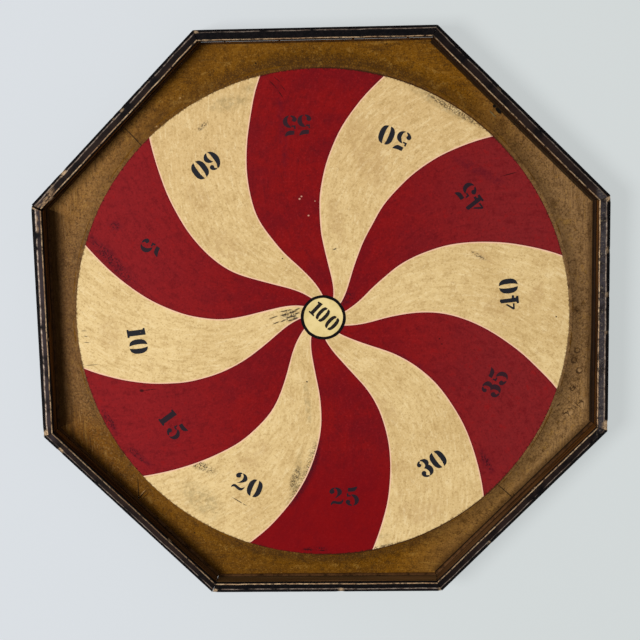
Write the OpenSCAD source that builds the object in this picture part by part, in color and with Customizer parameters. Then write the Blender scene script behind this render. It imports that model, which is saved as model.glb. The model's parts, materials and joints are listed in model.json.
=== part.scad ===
// Penny pitch board: a shallow octagonal tray with a round painted target.
// It lies face up. The origin is under the middle of the target, on the surface it rests on.
// +Y points to the side that is uppermost when the board hangs on a wall.

/* [Rim] */
// Distance across the flats of the octagon, over the rails
across_flats = 711; // [590:1:860]
// Width of a rail, seen from the front
rail_w = 14.5; // [11:0.5:20]
// Height of the rails above the field boards
wall_h = 24; // [16:1:36]
// Rounding of the rails' inner upper edge
rail_round = 1.8; // [0.5:0.1:3]
// Width of the bevel along the rails' outer upper edge
bevel_w = 3.5; // [2:0.5:5]
// Height of that bevel
bevel_h = 3; // [1:0.5:6]
// Open gap in each corner mitre of the rim
mitre_gap = 0.7; // [0.3:0.1:1.2]

/* [Foot beads] */
// Radius of the quarter-round bead at the foot of each rail
bead_r = 2.8; // [2:0.1:5]
// Gap between a bead and its rail
bead_gap = 0.5; // [0.3:0.1:1]

/* [Field] */
// Thickness of the four mitred field boards
board_t = 12; // [10:0.5:18]
// Width of the top and bottom field boards
end_board_w = 141; // [110:1:160]
// Width of the left and right field boards
side_board_w = 135; // [110:1:160]
// Open gap in each mitre of the field
seam_gap = 0.7; // [0.3:0.1:1.2]
// Gap between the field boards and the rails
edge_gap = 0.3; // [0.2:0.1:0.6]
// Distance from the left board's outer edge to its split along the grain
split_from_edge = 100; // [80:1:104]
// Length of the split, up from the lower left mitre
split_len = 46; // [20:1:60]
// Width of the split
split_w = 0.8; // [0.4:0.1:1.5]

/* [Target panel] */
// Bare field between a rail and the target panel
field_margin = 26; // [18:1:34]
// Thickness of the target panel
target_t = 6; // [5.5:0.5:9]
// Rounding of the panel's upper edge
target_round = 4.5; // [2:0.5:5]
// Number of planks that the panel is joined from
plank_count = 4; // [3:1:5]

/* [Paint] */
// Thickness of a coat of paint
paint_t = 0.3; // [0.2:0.1:0.5]
// Rounded ochre border between the painted sectors and the panel's edge
paint_margin = 4; // [3:0.5:8]
// Outer radius of the black ring round the centre spot
hub_r = 28.5; // [20:0.5:40]
// Line width of the black ring
ring_w = 3.7; // [2:0.1:6]
// Hairline gap between the ring and the coats of paint inside and outside it
coat_gap = 0.05; // [0.02:0.01:0.2]
// Degrees that a border gains on its rim mark on the way in, before it hooks back
spiral_lead = 40; // [20:1:50]
// Share of the target's radius over which a border hooks back to the ring
hook_reach = 0.16; // [0.1:0.01:0.25]

/* [Battens] */
// Width of the two back battens
batten_w = 45; // [38:1:60]
// Thickness of the battens
batten_t = 10; // [8:0.5:16]
// Distance along a batten from its square end's outer corner to the rim
batten_setback = 8; // [5:1:14]
// Diameter of the hanging hole in the upper batten
hang_d = 8; // [5:0.5:10]
// Distance from the upper batten's middle line down to the hanging hole
hang_drop = 9; // [7:0.5:11]

/* [Nails and screws] */
// Shank diameter of the rail nails
nail_d = 2.4; // [1.8:0.1:3]
// Head diameter of the rail nails
nail_head_d = 4.6; // [3.5:0.1:6]
// Length of the rail nails
nail_len = 45; // [35:1:60]
// Distance of a rail's inner pair of nails from its middle
nail_inner = 45; // [30:1:60]
// Distance of a rail's outer pair of nails from its middle
nail_outer = 112; // [80:1:114]
// Shank diameter of the target brads
brad_d = 1.6; // [1.2:0.1:2]
// Head diameter of the target brads
brad_head_d = 2.8; // [2.2:0.1:4]
// Length of the target brads
brad_len = 15; // [12:0.5:15]
// Distance from the target panel's edge to the brads
brad_inset = 18; // [12:1:30]
// Distance of a brad from the plank joint beside it
brad_from_joint = 5; // [4:0.5:8]
// Distance of the top and bottom brads from the middle line
brad_end_x = 60; // [40:1:80]
// Shank diameter of the batten screws
screw_d = 4; // [3:0.1:5]
// Head diameter of the batten screws
screw_head_d = 8; // [6:0.1:9]
// Length of the batten screws
screw_len = 19; // [15:0.5:19]
// Distance of a batten's inner pair of screws from its middle
screw_inner = 60; // [40:1:80]
// Distance of a batten's second pair of screws from its middle
screw_outer = 150; // [110:1:160]
// Distance of a batten's end screws past the opening's edge
screw_end = 20; // [14:1:24]
// Least distance from an end screw to its batten's end
screw_land = 12; // [8:1:20]
// Distance of the screws from a batten's middle line
screw_shift = 11; // [8:0.5:12]

/* [Hidden] */
// Degrees from one side of the octagon to the next
side_step = 45;
half_side = side_step / 2;
// Clearance round a nail or screw, and the depth that its head is set in
fastener_gap = 0.1;
head_set = 0.2;
nail_head_h = 1;
brad_head_h = 0.7;
slot_w = 1.1;
slot_h = 1.2;
// Overrun of a cut past the face that it opens
cut = 1;
small_fn = 48;
large_fn = 180;

// Heights, from the back upwards
field_z = batten_t + board_t;
rim_z = field_z + wall_h;
target_z = field_z + target_t;

// Plan sizes
rail_inner = across_flats / 2 - rail_w;
field_r = rail_inner - edge_gap;
target_r = rail_inner - field_margin;
paint_r = target_r - paint_margin;
opening_x = rail_inner - side_board_w;
opening_y = rail_inner - end_board_w;
plank_w = 2 * target_r / plank_count;
brad_r = target_r - brad_inset;
// A batten ends square beside the slanting rails, or further out where its end screws need it
batten_half = max(
    rail_inner * sqrt(2) - opening_y - batten_w / 2 - batten_setback,
    opening_x + screw_end + screw_land
);

// Scores counter-clockwise, each with the border on its clockwise side: the border's angle at
// the rim, and the degrees that it has gained on that angle where it meets the ring
sectors = [
    [45, 14, 1], [50, 46, -15], [55, 74, -14], [60, 104, -14], [5, 133, -9], [10, 162, -14],
    [15, 191, -8], [20, 221, -8], [25, 251, -11], [30, 281, 1], [35, 311, 10], [40, 343, -3]
];
border_steps = 28;

side_names = [
    "right", "top_right", "top", "top_left", "left", "bottom_left", "bottom", "bottom_right"
];
board_names = ["right", "top", "left", "bottom"];
rail_nodes = [for (s = side_names) str("rail_", s)];
bead_nodes = [for (s = side_names) str("foot_bead_", s)];
board_nodes = [for (s = board_names) str("field_board_", s)];
plank_nodes = [for (i = [1:plank_count]) str("target_plank_", i)];
sector_nodes = [for (s = sectors) str("sector_", s[0])];
single_nodes = [
    "centre_ring", "centre_spot", "batten_upper", "batten_lower",
    "rail_nails", "target_brads", "batten_screws"
];

black = "#1b1715";
bead_brown = "#4a2c18";
ochre = "#80602c";
red = "#80151c";
cream = "#e2c792";
spot_cream = "#ead79c";
bare_wood = "#a98758";
steel = "#55534f";

// Fastener places

// Middle of each target brad's head
joint_ys = [for (i = [1:plank_count - 1]) i * plank_w - target_r];
brad_places = concat(
    [for (joint = joint_ys, side = [-1, 1], end = [-1, 1])
        let (y = joint + side * brad_from_joint)
        [end * sqrt(brad_r ^ 2 - y ^ 2), y]],
    [for (side = [-1, 1], end = [-1, 1])
        [side * brad_end_x, end * sqrt(brad_r ^ 2 - brad_end_x ^ 2)]]
);

// Middle of each screw's head in the upper batten
screw_places = [for (side = [-1, 1]) each [
    [side * screw_inner, opening_y + screw_shift],
    [side * screw_outer, opening_y + screw_shift],
    [side * (opening_x + screw_end), opening_y - screw_shift]
]];

// Number of the field board under a point: 0 right, 1 top, 2 left, 3 bottom
function board_under(p) =
    abs(p.x) - opening_x > abs(p.y) - opening_y ? (p.x > 0 ? 0 : 2) : (p.y > 0 ? 1 : 3);

// Number of the target plank under a point, counted from the bottom
function plank_under(p) = floor((p.y + target_r) / plank_w) + 1;

// Nails and screws point along +Z, with their heads' outer faces at zero

module nail(shank_d, head_d, head_h, length) {
    tip_h = 1.5 * shank_d;
    cylinder(h = head_h, d = head_d, $fn = small_fn);
    cylinder(h = length - tip_h, d = shank_d, $fn = small_fn);
    translate([0, 0, length - tip_h])
        cylinder(h = tip_h, d1 = shank_d, d2 = shank_d / 6, $fn = small_fn);
}

module nail_hole(shank_d, head_d, head_h, length) {
    translate([0, 0, -cut])
        cylinder(h = head_h + cut + fastener_gap, d = head_d + 2 * fastener_gap, $fn = small_fn);
    cylinder(h = length + fastener_gap, d = shank_d + 2 * fastener_gap, $fn = small_fn);
}

module screw() {
    tip_h = 1.5 * screw_d;
    head_h = (screw_head_d - screw_d) / 2;
    difference() {
        union() {
            cylinder(h = head_h, d1 = screw_head_d, d2 = screw_d, $fn = small_fn);
            cylinder(h = screw_len - tip_h, d = screw_d, $fn = small_fn);
            translate([0, 0, screw_len - tip_h])
                cylinder(h = tip_h, d1 = screw_d, d2 = screw_d / 6, $fn = small_fn);
        }
        translate([-screw_head_d, -slot_w / 2, -cut])
            cube([2 * screw_head_d, slot_w, slot_h + cut]);
    }
}

module screw_hole() {
    head_h = (screw_head_d - screw_d) / 2;
    mouth_d = screw_head_d + 2 * fastener_gap;
    shank_d = screw_d + 2 * fastener_gap;
    translate([0, 0, -cut])
        cylinder(h = cut, d = mouth_d, $fn = small_fn);
    cylinder(h = head_h, d1 = mouth_d, d2 = shank_d, $fn = small_fn);
    cylinder(h = screw_len + fastener_gap, d = shank_d, $fn = small_fn);
}

// The nails of the side at angle 0 go in through the rail's outer face, level with the boards
module at_rail_nails() {
    for (y = [-nail_outer, -nail_inner, nail_inner, nail_outer])
        translate([across_flats / 2 - head_set, y, batten_t + board_t / 2])
            rotate([0, -90, 0])
                children();
}

module at_brad(p) {
    translate([p.x, p.y, target_z - head_set])
        rotate([180, 0, 0])
            children();
}

module at_screw(p) {
    translate([p.x, p.y, head_set])
        children();
}

module rail_nail_hole() {
    nail_hole(nail_d, nail_head_d, nail_head_h, nail_len);
}

module brad_hole() {
    nail_hole(brad_d, brad_head_d, brad_head_h, brad_len);
}

// Rim

// Octagon with flat sides at right, top, left and bottom
module octagon(flat_r) {
    rotate(half_side)
        circle(flat_r / cos(half_side), $fn = 8);
}

// Plan of one side's share of the octagon, with half a mitre gap off each end
module side_wedge(gap) {
    reach = across_flats;
    spread = reach * tan(half_side);
    translate([gap / 2 / sin(half_side), 0])
        polygon([[0, 0], [reach, -spread], [reach, spread]]);
}

// A mitred strip along the side at angle 0: its section is drawn outwards from inner
module side_strip(inner, bottom, height) {
    intersection() {
        translate([inner, across_flats / 2, bottom])
            rotate([90, 0, 0])
                linear_extrude(across_flats)
                    children();
        translate([0, 0, bottom - cut])
            linear_extrude(height + 2 * cut)
                side_wedge(mitre_gap);
    }
}

// Square below, with its inner upper edge rounded and its outer one bevelled
module rail_section(height) {
    polygon([
        [rail_round, 0],
        [rail_w, 0],
        [rail_w, height - bevel_h],
        [rail_w - bevel_w, height],
        [rail_round, height]
    ]);
    square([2 * rail_round, height - rail_round]);
    translate([rail_round, height - rail_round])
        circle(rail_round, $fn = small_fn);
}

// A quarter round with its square corner towards the rail
module bead_section() {
    intersection() {
        translate([bead_r, 0])
            circle(bead_r, $fn = small_fn);
        square(bead_r);
    }
}

module rail(side) {
    height = rim_z - batten_t;
    color(black)
        rotate(side * side_step)
            difference() {
                side_strip(rail_inner, batten_t, height)
                    rail_section(height);
                at_rail_nails()
                    rail_nail_hole();
            }
}

module foot_bead(side) {
    color(bead_brown)
        rotate(side * side_step)
            side_strip(rail_inner - bead_gap - bead_r, field_z, bead_r)
                bead_section();
}

// Field

// Plan of a board at angle 0 with mitred ends: inner is its inner edge's distance from the
// middle, and half is half the length of that edge
module board_plan(inner, half) {
    reach = across_flats / 2;
    trim = seam_gap / sqrt(2);
    polygon([
        [inner, trim - half],
        [inner + reach, trim - half - reach],
        [inner + reach, half + reach - trim],
        [inner, half - trim]
    ]);
}

module field_board(k) {
    upright = k % 2 == 0;
    inner = upright ? opening_x : opening_y;
    half = upright ? opening_y : opening_x;
    color(ochre)
        difference() {
            translate([0, 0, batten_t])
                linear_extrude(board_t)
                    intersection() {
                        octagon(field_r);
                        rotate(90 * k)
                            board_plan(inner, half);
                    }
            for (side = [2 * k - 1:2 * k + 1])
                rotate(side * side_step)
                    at_rail_nails()
                        rail_nail_hole();
            for (p = brad_places)
                if (board_under(p) == k)
                    at_brad(p)
                        brad_hole();
            for (p = screw_places, end = [-1, 1])
                if (board_under([p.x, end * p.y]) == k)
                    at_screw([p.x, end * p.y])
                        screw_hole();
            if (board_names[k] == "left")
                board_split();
        }
}

// The left board's split runs up along its grain from the lower left mitre
module board_split() {
    split_x = split_from_edge - rail_inner;
    mitre_y = split_x + opening_x - opening_y;
    translate([split_x - split_w / 2, mitre_y - 2 * split_w, batten_t - cut])
        cube([split_w, split_len + 2 * split_w, board_t + 2 * cut]);
}

// Target panel

// Half of the panel's section, with its upper edge rounded
module target_section() {
    square([target_r, target_t - target_round]);
    square([target_r - target_round, target_t]);
    translate([target_r - target_round, target_t - target_round])
        intersection() {
            circle(target_round, $fn = small_fn);
            square(target_round);
        }
}

// Planks are numbered from the bottom, and the outer two overrun the round
module target_plank(i) {
    low = i == 1 ? -target_r - cut : (i - 1) * plank_w - target_r;
    high = i == plank_count ? target_r + cut : i * plank_w - target_r;
    color(ochre)
        difference() {
            intersection() {
                translate([0, 0, field_z])
                    rotate_extrude($fn = large_fn)
                        target_section();
                translate([-target_r - cut, low, field_z - cut])
                    cube([2 * target_r + 2 * cut, high - low, target_t + 2 * cut]);
            }
            for (p = brad_places)
                if (plank_under(p) == i)
                    at_brad(p)
                        brad_hole();
        }
}

// Paint

// A border's point at radius r: it leads its rim angle more and more on the way in, and
// then hooks back to meet the ring at the angle that it was given there
function border_point(border, r) =
    let (
        rim_angle = border[1],
        ring_gain = border[2],
        share = r / paint_r,
        ring_share = hub_r / paint_r,
        hook = spiral_lead * (1 - ring_share) - ring_gain,
        gain = spiral_lead * (1 - share) - hook * exp((ring_share - share) / hook_reach),
        angle = rim_angle + gain
    )
    r * [cos(angle), sin(angle)];

// A border's points from inside the ring to outside the rim, closer together near the ring
function border_line(border) =
    let (start = hub_r - cut, end = paint_r + cut)
    [for (i = [0:border_steps])
        border_point(border, start + (end - start) * (i / border_steps) ^ 1.3)];

module sector(i) {
    border = sectors[i];
    next = sectors[(i + 1) % len(sectors)];
    step = (next[1] - border[1] + 360) % 360;
    first_line = border_line(border);
    last_line = border_line(next);
    outside = 1.1 * paint_r;
    outer_points = [for (t = [0.25, 0.5, 0.75])
        outside * [cos(border[1] + t * step), sin(border[1] + t * step)]];
    color(border[0] % 10 == 0 ? cream : red)
        translate([0, 0, target_z])
            linear_extrude(paint_t)
                difference() {
                    intersection() {
                        circle(paint_r, $fn = large_fn);
                        polygon(concat(
                            first_line,
                            outer_points,
                            [for (j = [border_steps:-1:0]) last_line[j]]
                        ));
                    }
                    circle(hub_r + coat_gap, $fn = large_fn);
                }
}

module centre_ring() {
    color(black)
        translate([0, 0, target_z])
            linear_extrude(paint_t)
                difference() {
                    circle(hub_r, $fn = large_fn);
                    circle(hub_r - ring_w, $fn = large_fn);
                }
}

module centre_spot() {
    color(spot_cream)
        translate([0, 0, target_z])
            linear_extrude(paint_t)
                circle(hub_r - ring_w - coat_gap, $fn = large_fn);
}

// Back

// A batten lies along the opening's upper edge (end 1) or its lower edge (end -1), and loses
// its outer corners where they would come too near the slanting rails
module batten(end) {
    color(bare_wood)
        difference() {
            linear_extrude(batten_t)
                intersection() {
                    translate([-batten_half, end * opening_y - batten_w / 2])
                        square([2 * batten_half, batten_w]);
                    octagon(rail_inner - batten_setback / 2);
                }
            for (p = screw_places)
                at_screw([p.x, end * p.y])
                    screw_hole();
            if (end == 1)
                translate([0, opening_y - hang_drop, -cut])
                    cylinder(h = batten_t + 2 * cut, d = hang_d, $fn = small_fn);
        }
}

module batten_upper() {
    batten(1);
}

module batten_lower() {
    batten(-1);
}

// Nails and screws

module rail_nails() {
    color(steel)
        for (side = [0:len(side_names) - 1])
            rotate(side * side_step)
                at_rail_nails()
                    nail(nail_d, nail_head_d, nail_head_h, nail_len);
}

module target_brads() {
    color(steel)
        for (p = brad_places)
            at_brad(p)
                nail(brad_d, brad_head_d, brad_head_h, brad_len);
}

module batten_screws() {
    color(steel)
        for (p = screw_places, end = [-1, 1])
            at_screw([p.x, end * p.y])
                screw();
}

for (i = [0:len(side_names) - 1]) {
    rail(i);
    foot_bead(i);
}
for (i = [0:len(board_names) - 1])
    field_board(i);
for (i = [0:plank_count - 1])
    target_plank(i + 1);
for (i = [0:len(sectors) - 1])
    sector(i);
centre_ring();
centre_spot();
batten_upper();
batten_lower();
rail_nails();
target_brads();
batten_screws();
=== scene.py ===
"""Penny pitch board: its paint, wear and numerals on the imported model, in a plain studio.

Every piece is in the frame of the CAD model: the board lies face up, +Y is the side that is
uppermost when it hangs, and the origin is under the middle of the target. Pieces are written in
millimetres and built in metres. Values that a material reads are in metres.
"""
import json
import math
from functools import reduce

import bpy
from mathutils import Euler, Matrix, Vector, noise

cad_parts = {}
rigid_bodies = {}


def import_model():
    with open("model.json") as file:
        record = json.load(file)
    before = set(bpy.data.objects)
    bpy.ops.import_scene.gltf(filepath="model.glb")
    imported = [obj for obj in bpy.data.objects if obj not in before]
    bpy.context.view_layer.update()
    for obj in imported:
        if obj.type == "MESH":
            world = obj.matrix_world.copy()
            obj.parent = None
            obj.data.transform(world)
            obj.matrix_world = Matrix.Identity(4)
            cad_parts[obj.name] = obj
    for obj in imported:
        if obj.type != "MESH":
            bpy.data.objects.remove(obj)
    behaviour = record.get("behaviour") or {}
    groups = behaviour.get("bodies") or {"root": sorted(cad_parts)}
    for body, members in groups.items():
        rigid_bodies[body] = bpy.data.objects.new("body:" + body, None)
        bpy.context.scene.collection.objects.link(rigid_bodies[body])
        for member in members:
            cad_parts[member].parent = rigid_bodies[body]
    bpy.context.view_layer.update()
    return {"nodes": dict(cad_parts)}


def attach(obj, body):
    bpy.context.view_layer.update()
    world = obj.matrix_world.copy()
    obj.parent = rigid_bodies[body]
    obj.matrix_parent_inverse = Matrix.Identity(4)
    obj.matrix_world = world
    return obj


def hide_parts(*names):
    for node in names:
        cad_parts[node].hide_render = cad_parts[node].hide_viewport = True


MM = 0.001

# Sizes of the CAD model, in millimetres
ACROSS_FLATS = 711.0
RAIL_W = 14.5
RAIL_BOTTOM = 10.0
RIM_Z = 46.0
MITRE_GAP = 0.7
FIELD_Z = 22.0
TARGET_Z = 28.0
PAINT_T = 0.3
TARGET_R = 315.0
TARGET_ROUND = 4.5
PAINT_R = 311.0
HUB_R = 28.5
RING_W = 3.7
SPIRAL_LEAD = 40.0
HOOK_REACH = 0.16
RAIL_INNER = ACROSS_FLATS / 2 - RAIL_W
PAINT_TOP = TARGET_Z + PAINT_T
SIDE_STEP = 45.0
HALF_SIDE = math.radians(SIDE_STEP / 2)

# The painter's circle and its centre at the hub and at the rim, against the middle of the panel
PAINTED_R = 308.5
HUB_SHIFT = Vector((2.2, -0.9))
RIM_SHIFT = Vector((-0.3, -1.6))

# Score of each sector, its clockwise border's angle at the rim, the degrees that the border has
# gained where it meets the ring, and how far it strays near the hub, midway and near the rim (mm)
SECTORS = [
    (45, 14, 1, 0, 1.6, -1.5), (50, 46, -15, 3.5, -3.7, -0.5), (55, 74, -14, 1, -0.9, 2),
    (60, 104, -14, 0, 2.2, -7.2), (5, 133, -9, -2, 3, -5), (10, 162, -14, 0, 3, -2),
    (15, 191, -8, -0.5, -0.4, 1), (20, 221, -8, -0.8, 5.4, -1.2), (25, 251, -11, -0.8, 0.4, 2),
    (30, 281, 1, -3.5, 2, 0), (35, 311, 10, -3.4, 2.2, -1.4), (40, 343, -3, -0.8, 2.6, -5.3),
]
STRAY_PLACES = (45, 140, 285)
RED_SCORES = {45, 55, 5, 15, 25, 35}
FADED_SCORES = {55, 35}
SIDE_NAMES = [
    "right", "top_right", "top", "top_left", "left", "bottom_left", "bottom", "bottom_right",
]
BOARD_NAMES = ["right", "top", "left", "bottom"]

# Score, distance from the middle (mm), angle, gap between its digits and drop of the last digit,
# both in the units that the digits are drawn in
NUMERALS = [
    (5, 230.2, 156.7, 0, 0), (10, 234.2, 186.9, 2.7, 0), (15, 235.1, 215.6, 5.3, 1.3),
    (20, 238.2, 245.5, 2.9, 0.6), (25, 233.2, 275.9, 2.5, 1.8), (30, 234.4, 305.5, 1.8, 0.3),
    (35, 231.8, 337.9, 0.7, 1.4), (40, 234.4, 6.1, 2.4, 0.6), (45, 236, 37.7, 1.8, 0.8),
    (50, 239.6, 67, 2.7, 0), (55, 239, 95.8, 0.7, 0.8), (60, 236.1, 125.9, 1.6, 0),
]

# Wear of each rail, from the right one anticlockwise: the worn line's distance from the outer
# face and the arris's from the inner face (mm), and how pale each of the two is
RAIL_WEAR = [
    (5, 1, 0.85, 0.95), (4.2, 0.9, 0.45, 0.6), (3.2, 1.7, 0.4, 0.75), (3.8, 2.5, 0.6, 0.85),
    (5.3, 2.6, 1, 0.9), (4.3, 2.7, 0.45, 0.5), (4.7, 2.6, 0.6, 0.9), (4.5, 1.7, 0.5, 0.65),
]

# Chips in the rails: side, distance along it from its middle, half length and depth (mm)
OUTER_CHIPS = [
    (3, 90, 7, 1.5), (3, -2, 3, 0.8), (3, -17, 4, 1), (3, -52, 2, 0.9), (3, -65, 3, 0.7),
    (3, 111, 4, 0.8), (0, 146, 6, 2.4), (0, -141, 8, 2.8), (0, 26, 4, 1.2), (4, -146, 4, 2),
    (4, 142, 5, 2), (6, 147, 4, 1.8), (6, -145, 4, 1.8), (6, 18, 5, 1.3), (2, 145, 4, 1.6),
    (5, -120, 5, 1.5), (1, 40, 4, 0.8), (7, -60, 4, 1), (0, 80, 5, 1.1), (0, -22, 3, 1),
]
INNER_CHIPS = [
    (3, 124, 4, 1.3), (2, 133, 3, 1), (2, 53, 3, 0.9), (0, -60, 6, 0.9), (4, 20, 4, 0.8),
    (5, 60, 4, 0.8), (7, 30, 4, 0.8), (1, -70, 5, 0.9),
]

# Marks that are painted on: x, y, half length and half width (mm) and, where they differ, turn
# (degrees) and softness of the edge. First those on the target, then on the field and the rails.
TAN_PATCHES = [
    (97, -194, 14, 9, 20), (108, -252, 22, 14, 10), (216, 7, 24, 16), (198, 75, 20, 9, -30),
    (60, 205, 26, 70, 20), (20, 121, 14, 40, 10), (-148, 150, 30, 18, -50), (-90, -179, 36, 20, 40),
    (267, 22, 26, 12, 80), (-268, -19, 18, 30), (79, -118, 14, 30, 30), (209, 67, 10, 2, -32),
    (-118, 92, 40, 22, -30), (125, -256, 34, 20, 20),
]
GREY_PATCHES = [
    (-107, 267, 34, 13, 12), (-73, 284, 24, 8), (-199, -174, 40, 14, -28), (-36, -204, 7, 44, -12),
    (-20, -109, 5, 40, 5), (149, 261, 60, 7, -30), (59, -289, 30, 6, 8), (-159, -236, 44, 22, -40),
]
CREAM_SPECKLE = [
    (-162, -189, 34, 8, -25), (-38, -208, 7, 22, -20), (168, 252, 58, 5, -32),
    (196, 74, 14, 3, -30), (74, -300, 34, 3, 14), (-140, 240, 12, 4, 40), (-40, 2, 14, 9, 12),
]
WORN_BORDERS = [(-26, -202, 62, 24, 64)]
CREAM_SCRATCHES = [
    (-43, 8.5, 8, 1.4, 12), (-36, 6.5, 8, 1.5, 18), (-46, 3, 7, 1.6, 10), (-37.5, 0.8, 9, 1.5, 14),
    (-33, -2, 6, 2, 16), (-39, -4, 6, 1.4, 12), (-30, 10, 5, 1.2, 20), (-48, -4.5, 5, 1.2, 24),
    (-48, 7.5, 5, 1.1, 8), (-31, 4.5, 5, 1.4, 18), (-60, 0, 8, 1, 18), (-57, -7, 6, 1, 22),
    (-110, -239, 15, 0.9, -32), (-20, -83, 1.7, 1.5), (18, 85, 3.4, 1.5, 20),
    (61, 43, 1.6, 1.4), (-47, 74, 1.4, 1.2), (292, -4, 1.4, 1.4), (-300, -14, 5, 0.6),
    (-299, -21, 6, 0.6, 3), (-297, -29, 5, 0.6, -5), (-292, -58, 11, 0.6, 4),
]
RED_SHADOWS = [
    (-259, 74, 58, 13, -48), (-255, 118, 14, 10), (30, 22, 20, 11, 34),
    (-43, 230, 7, 66, 4), (205, -189, 24, 8, -62), (-274, -129, 30, 6, -62), (-235, -179, 26, 6, -40),
    (198, 178, 50, 8, -30), (216, -22, 14, 3, -10), (109, -58, 30, 7, -28), (149, 61, 20, 6, 30),
]
RED_SPECKLE = [
    (-262, 76, 54, 10, -48), (-255, 118, 9, 6), (-273, -131, 24, 6, -62), (-239, -176, 22, 6, -40),
    (205, -189, 20, 5, -62), (31, 23, 17, 8, 36), (-16, -303, 22, 4, 2), (216, -23, 9, 1.6, -10),
]
RED_SCRATCHES = [
    (234, 174, 13, 0.8, 14), (-53, 288, 9, 0.8, -48), (-44, 276, 8, 0.7, -58), (-48, 294, 7, 0.6, -40),
    (-41, 284, 6, 0.6, -52), (-230, -92, 4, 2.6), (-220, -91, 12, 0.8, 6), (147, -30, 1.5, 1.3),
    (150, -36.7, 1.4, 1.2), (-24, -303.5, 9, 1.2, -3), (-4, -305, 7, 1.1, 4),
]
RED_CHIPS = [
    (-24, 148, 1.7, 1.5), (-21.6, 151, 1.5, 1.3), (-13.4, 127.2, 1.6, 1.3),
    (-5, 145, 1, 0.9), (-39, 37, 12, 0.6, -24),
]
FIELD_SPECKS = [
    (-74, 314, 1.6, 1.5), (-84, 298, 1.4, 1.3), (86, 334, 1.5, 1.4),
    (-170, -282, 1.7, 1.5), (318, 2.4, 1.6, 1.5), (296, -117, 5, 1, 40),
]
# The notch at upper right is painted dark: painted shade in place of its broken-out hollow.
FIELD_NOTCH = [(221, 251, 6.5, 2.8, -48, 0.4), (216, 256.5, 2.8, 2.2, -48, 0.4)]
FIELD_FILLER = [(214, 247, 8, 1, -48)]
# Pale marks: specks and a line beside the split, and painted highlights in two blisters and a dent near
# the right rail.
FIELD_PALE_MARKS_AND_HIGHLIGHTS = [
    (327, -117, 8, 4, 80), (-168, 274, 1.6, 1.4), (-198, 240, 1.6, 1.4),
    (-235.2, -227.5, 7, 0.8, 48), (322, -74, 2.8, 2.6), (310, -129, 7, 4, 20),
]
FIELD_SEAMS = [
    (-228, 228, 25, 0.9, -45, 0.4), (230, -230, 24, 0.9, -45, 0.4), (-232, -232, 12, 0.6, 45),
    (-240.6, -220, 16, 0.9, 90, 0.35), (-236.5, -231, 10.5, 0.8, 49, 0.35),
]
FIELD_BLISTERS = [(315, -95, 12, 9, 80), (324, -117, 14, 7, 20), (308, -128, 14, 8, 30)]
# Dents near the right rail, each drawn with a dark crescent of painted shade on its lower left side.
FIELD_DENTS = [(318.6, -48, 4.8, 4.4), (314.7, -60.5, 5, 4.6), (321.8, -74, 5.4, 5)]
RIM_WORN_ENDS = [(-338, 154, 22, 8, 45), (-349, 124, 14, 4, 90)]

# Streaks of the rails' inner walls, light and dark: in the upper half, low down, at the bottom
# The lower walls' browns are lighter and the bottom wall's lightest: painted light where the lamp hardly
# reaches.
WALL_BROWNS = [((92, 57, 24), (40, 22, 10)), ((96, 66, 38), (52, 33, 19)), ((126, 96, 62), (98, 74, 46))]


def linear(*rgb):
    """A colour given in 0 to 255 display values, as the linear values that a shader takes."""
    shares = [value / 255 for value in rgb]
    return (*[s / 12.92 if s <= 0.04045 else ((s + 0.055) / 1.055) ** 2.4 for s in shares], 1)


class Nodes:
    """A node tree, with one short method for each kind of node that is used in it."""

    def __init__(self, tree):
        self.tree = tree

    def put(self, node, inputs):
        """Links or sets the inputs of a node, given by name or by number."""
        for key, value in inputs.items():
            if isinstance(value, bpy.types.NodeSocket):
                self.tree.links.new(value, node.inputs[key])
            else:
                node.inputs[key].default_value = value

    def node(self, kind, inputs, **settings):
        """The outputs of a new shader node of that kind."""
        node = self.tree.nodes.new("ShaderNode" + kind)
        for key, value in settings.items():
            setattr(node, key, value)
        self.put(node, inputs)
        return node.outputs

    def math(self, operation, a, b=0):
        return self.node("Math", {0: a, 1: b}, operation=operation)[0]

    def plus(self, a, b):
        return self.math("ADD", a, b)

    def minus(self, a, b):
        return self.math("SUBTRACT", a, b)

    def absolute(self, value):
        return self.math("ABSOLUTE", value)

    def length(self, x, y):
        return self.math("SQRT", self.plus(self.times(x, x), self.times(y, y)))

    def times(self, *values):
        return reduce(lambda a, b: self.math("MULTIPLY", a, b), values)

    def most(self, *values):
        return reduce(lambda a, b: self.math("MAXIMUM", a, b), values)

    def band(self, value, low, high):
        """0 at low and 1 at high, smoothly; low may be the larger one."""
        ends = {"Value": value, "From Min": low, "From Max": high}
        return self.node("MapRange", ends, interpolation_type="SMOOTHSTEP")["Result"]

    def between(self, value, low, high):
        """low where the value is 0 and high where it is 1."""
        ends = {"Value": value, "To Min": low, "To Max": high}
        return self.node("MapRange", ends)["Result"]

    def ragged(self, value, cloud, spread):
        """A value moved to and fro by a noise, by up to half the spread."""
        return self.plus(value, self.times(self.minus(cloud, 0.5), spread))

    def mix(self, factor, a, b):
        return self.node("Mix", {"Factor": factor, 6: a, 7: b}, data_type="RGBA")[2]

    def tones(self, value, low, high, first, second):
        """A colour that passes from the first to the second as the value goes from low to high."""
        return self.mix(self.band(value, low, high), linear(*first), linear(*second))


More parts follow.
